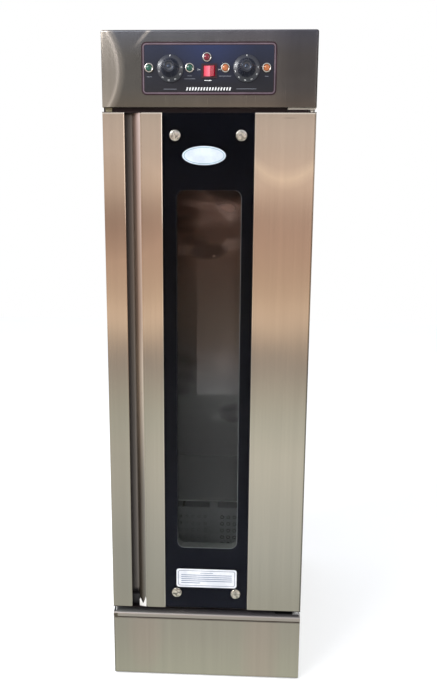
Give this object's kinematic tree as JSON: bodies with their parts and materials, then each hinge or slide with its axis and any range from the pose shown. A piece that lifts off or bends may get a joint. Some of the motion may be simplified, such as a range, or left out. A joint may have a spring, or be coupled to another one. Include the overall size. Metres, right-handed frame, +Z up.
{
  "type": "proofing cabinet",
  "caption": "Single-door proofing cabinet in brushed steel with a glazed door, a recessed pull, a control header, and a heated, humidified rack chamber.",
  "frame": {"origin": "On the floor, under the middle of the overall box.", "axes": "+Z up, +X to the right of a person who faces the door, -Y towards that person."},
  "size_m": [0.5, 0.7538, 1.65],
  "materials": {
    "brushed_steel": "brushed, warm grey",
    "plain_steel": "mill finish",
    "liner_steel": "bright, lightly reflective",
    "insulation": "rigid foam",
    "element_steel": "dull steel tube",
    "fan_alloy": "pressed, plain",
    "black_plastic": "moulded",
    "black_rubber": "matte",
    "polished_steel": "polished",
    "panel_face": "printed film, satin",
    "green_lamp": "clear green",
    "red_lamp": "dark clear red",
    "orange_lamp": "clear orange",
    "red_rocker": "lit red",
    "clear_glass": "clear, polished"
  },
  "bodies": {
    "root": {"header_shell": "brushed_steel", "header_floor": "plain_steel", "left_side_panel": "brushed_steel", "right_side_panel": "brushed_steel", "rear_panel": "brushed_steel", "base_deck": "plain_steel", "front_frame": "liner_steel", "chamber_left_wall": "liner_steel", "chamber_right_wall": "liner_steel", "chamber_back_wall": "liner_steel", "chamber_ceiling": "liner_steel", "chamber_floor": "liner_steel", "body_insulation": "insulation", "left_tray_rack": "liner_steel", "right_tray_rack": "liner_steel", "heater_cover": "liner_steel", "air_heater": "element_steel", "water_pan": "liner_steel", "water_heater": "element_steel", "fan_motor": "black_plastic", "base_nosing": "brushed_steel", "base_shell": "brushed_steel", "base_floor": "plain_steel", "front_left_foot": "black_rubber", "front_right_foot": "black_rubber", "rear_left_foot": "black_rubber", "rear_right_foot": "black_rubber", "top_hinge_bracket": "polished_steel", "bottom_hinge_bracket": "polished_steel", "control_overlay": "panel_face", "green_lamp_outer": "green_lamp", "green_lamp_inner": "green_lamp", "red_lamp": "red_lamp", "orange_lamp_inner": "orange_lamp", "orange_lamp_outer": "orange_lamp", "switch_frame": "black_plastic", "thermostat_body": "black_plastic", "humidistat_body": "black_plastic", "cable_gland": "black_plastic"},
    "door": {"pull_strip": "brushed_steel", "handle_channel": "brushed_steel", "left_stile": "brushed_steel", "right_stile": "brushed_steel", "door_glass": "clear_glass", "window_frame": "black_plastic", "inner_glass": "clear_glass", "door_liner": "liner_steel", "door_insulation": "insulation", "door_top_plate": "brushed_steel", "door_bottom_plate": "brushed_steel", "door_gasket": "black_rubber", "handle_end_cap": "black_plastic", "top_left_glass_cap": "polished_steel", "top_right_glass_cap": "polished_steel", "bottom_left_glass_cap": "polished_steel", "bottom_right_glass_cap": "polished_steel"},
    "thermostat": {"thermostat_knob": "black_plastic"},
    "humidity_control": {"humidity_knob": "black_plastic"},
    "power_switch": {"power_rocker": "red_rocker"},
    "fan": {"fan_blades": "fan_alloy"}
  },
  "joints": [
    {"name": "door_hinge", "type": "hinge", "parent": "root", "child": "door", "pos_m": [0.2385, -0.32115, 0.8351], "axis": [0, 0, 1], "range_deg": [0, 110]},
    {"name": "thermostat_turn", "type": "hinge", "parent": "root", "child": "thermostat", "pos_m": [-0.0888, -0.34485, 1.565], "axis": [0, 1, 0], "range_deg": [0, 270]},
    {"name": "humidity_turn", "type": "hinge", "parent": "root", "child": "humidity_control", "pos_m": [0.087, -0.34485, 1.565], "axis": [0, 1, 0], "range_deg": [0, 270]},
    {"name": "power_rock", "type": "hinge", "parent": "root", "child": "power_switch", "pos_m": [0.0012, -0.34015, 1.5595], "axis": [0, 0, 1], "range_deg": [0, 20]},
    {"name": "fan_spin", "type": "hinge", "parent": "root", "child": "fan", "pos_m": [0, 0.27275, 0.3106], "axis": [0, 1, 0], "continuous": true}
  ]
}
